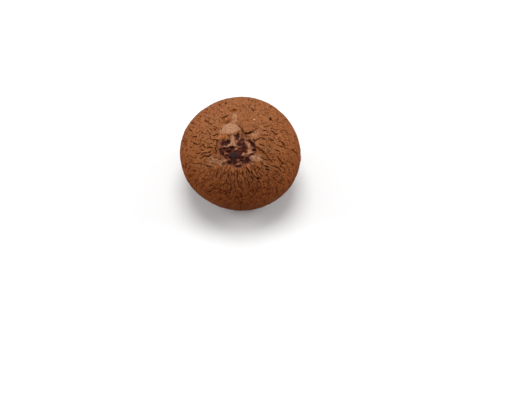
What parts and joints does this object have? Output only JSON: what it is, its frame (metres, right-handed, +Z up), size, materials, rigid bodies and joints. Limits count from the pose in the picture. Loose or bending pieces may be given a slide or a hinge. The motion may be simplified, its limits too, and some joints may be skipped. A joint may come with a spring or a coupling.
{
  "type": "mochi bun",
  "caption": "Round baked mochi bun with a finely cracked brown crust, burst open on its front to show dark bean paste.",
  "frame": {"origin": "middle of the bun's outline seen from above, on the plane it rests on", "axes": "+Z up, -Y the front, towards which the burst leans, +X the bun's right-hand side seen from the front"},
  "size_m": [0.0598, 0.0602, 0.0467],
  "materials": {
    "crust": "matte, finely cracked brown crust over pale chewy dough",
    "filling": "soft, moist, dark purple-brown paste"
  },
  "bodies": {
    "root": {"bun": "crust", "filling": "filling"}
  },
  "joints": []
}
